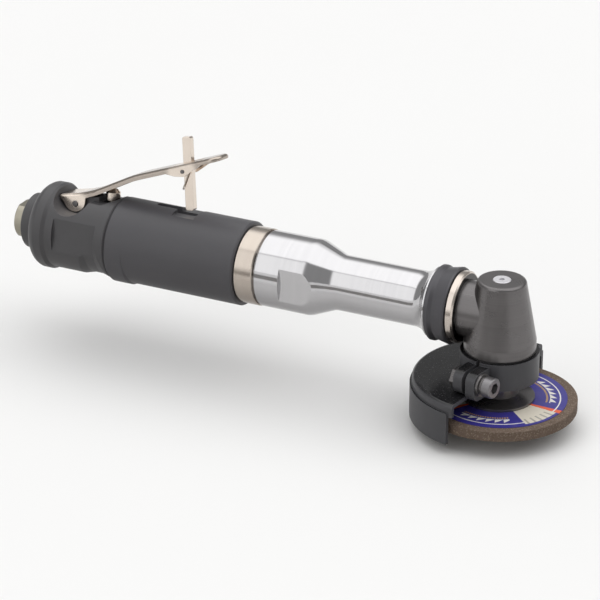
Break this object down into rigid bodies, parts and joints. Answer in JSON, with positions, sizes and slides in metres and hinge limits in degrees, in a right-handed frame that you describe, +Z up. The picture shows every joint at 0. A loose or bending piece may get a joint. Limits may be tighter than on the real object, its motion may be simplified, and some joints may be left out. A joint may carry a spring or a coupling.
{
  "type": "extended right angle grinder",
  "caption": "Pneumatic right angle grinder with long extension housing, hinged throttle lever with lock lever, half guard and straight grinding wheel.",
  "frame": {"origin": "centre of the air inlet's mouth, at the rear end of the tool", "axes": "+X along the tool axis towards the angle head, +Z up along the spindle axis away from the wheel, +Y to the left seen along +X"},
  "size_m": [0.3021, 0.0848, 0.1152],
  "materials": {
    "black_body": "matt dark grey coat",
    "grip": "matt dark grey moulded sleeve",
    "nickel": "satin nickel plate",
    "polished_steel": "turned and polished",
    "black_oxide": "satin black oxide",
    "guard_black": "semi-gloss black coat",
    "abrasive": "bonded brown abrasive grain",
    "label": "printed paper disc",
    "spring_wire": "drawn wire",
    "felt": "pressed felt",
    "seal_rubber": "nitrile rubber",
    "bronze": "turned",
    "motor_alloy": "turned",
    "vane_composite": "laminated composite",
    "steel": "ground"
  },
  "bodies": {
    "housing": {"inlet_bushing": "nickel", "inlet_screen": "bronze", "exhaust_cover": "black_body", "muffler_felt": "felt", "throttle_body": "black_body", "valve_seat": "bronze", "valve_spring": "spring_wire", "stem_bushing": "bronze", "stem_seal": "seal_rubber", "lever_pin": "nickel", "motor_housing": "motor_alloy", "grip_sleeve": "grip", "rear_end_plate": "motor_alloy", "rotor_bearings": "steel", "motor_cylinder": "steel", "front_end_plate": "motor_alloy", "cylinder_dowels": "steel", "motor_spacer": "motor_alloy", "lock_ring": "nickel", "extension_housing": "polished_steel", "shaft_bearings": "steel", "bearing_rings": "steel", "coupling_nut": "black_oxide", "head_ring": "nickel", "angle_head": "black_oxide", "pinion_bearings": "steel", "pinion_spacer": "steel", "pinion_retainer": "steel", "needle_bearing": "steel", "spindle_bearing": "steel", "bearing_retainer": "steel", "spindle_seal": "seal_rubber", "head_plug": "steel"},
    "lever": {"throttle_lever": "nickel", "lock_pin": "nickel", "lock_spring": "spring_wire"},
    "lock": {"lock_lever": "nickel"},
    "stem": {"valve_stem": "nickel"},
    "valve": {"tip_valve": "seal_rubber"},
    "spindle": {"spindle": "steel", "bevel_gear": "steel", "gear_key": "steel", "gear_ring": "steel", "inner_flange": "black_oxide", "grinding_wheel": "abrasive", "wheel_label": "label", "outer_flange": "steel", "wheel_nut": "steel"},
    "rotor": {"rotor": "steel", "rotor_vanes": "vane_composite", "shaft_coupling": "steel", "extension_shaft": "steel", "bevel_pinion": "steel", "pinion_ring": "steel"},
    "guard": {"wheel_guard": "guard_black", "guard_collar": "guard_black", "clamp_screw": "black_oxide", "clamp_nut": "black_oxide", "clamp_washers": "black_oxide"}
  },
  "joints": [
    {"name": "throttle_press", "type": "hinge", "parent": "housing", "child": "lever", "pos_m": [0.0339, 0.00255, 0.01448], "axis": [0, 0.9848, -0.1736], "range_deg": [0, 6], "stiffness_Nm_per_rad": 0.6, "springref_deg": -14.32},
    {"name": "lock_fold", "type": "hinge", "parent": "lever", "child": "lock", "pos_m": [0.0929, 0.00721, 0.04087], "axis": [0, 0.9848, -0.1736], "range_deg": [0, 42.5], "deforming": ["lock_spring"]},
    {"name": "stem_press", "type": "slide", "parent": "housing", "child": "stem", "axis": [0, -0.1736, -0.9848], "range_m": [0, 0.0021]},
    {"name": "tip_valve_tilt", "type": "hinge", "parent": "housing", "child": "valve", "pos_m": [0.02695, 0.00108, 0.00611], "axis": [0, 0.9848, -0.1736], "range_deg": [0, 5.3], "deforming": ["valve_spring"]},
    {"name": "spindle_spin", "type": "hinge", "parent": "housing", "child": "spindle", "pos_m": [0.264, 0, 0], "axis": [0, 0, 1], "continuous": true},
    {"name": "rotor_spin", "type": "hinge", "parent": "housing", "child": "rotor", "pos_m": [0.2, 0, 0], "axis": [1, 0, 0], "continuous": true},
    {"name": "guard_turn", "type": "hinge", "parent": "housing", "child": "guard", "pos_m": [0.264, 0, -0.03], "axis": [0, 0, 1], "range_deg": [-90, 180]}
  ],
  "couplings": [
    {"joint": "lock_fold", "follows": "throttle_press", "ratio": 7},
    {"joint": "stem_press", "follows": "throttle_press", "m_per_rad": 0.0196},
    {"joint": "tip_valve_tilt", "follows": "throttle_press", "ratio": 0.86},
    {"joint": "rotor_spin", "follows": "spindle_spin", "ratio": -1.3571}
  ]
}
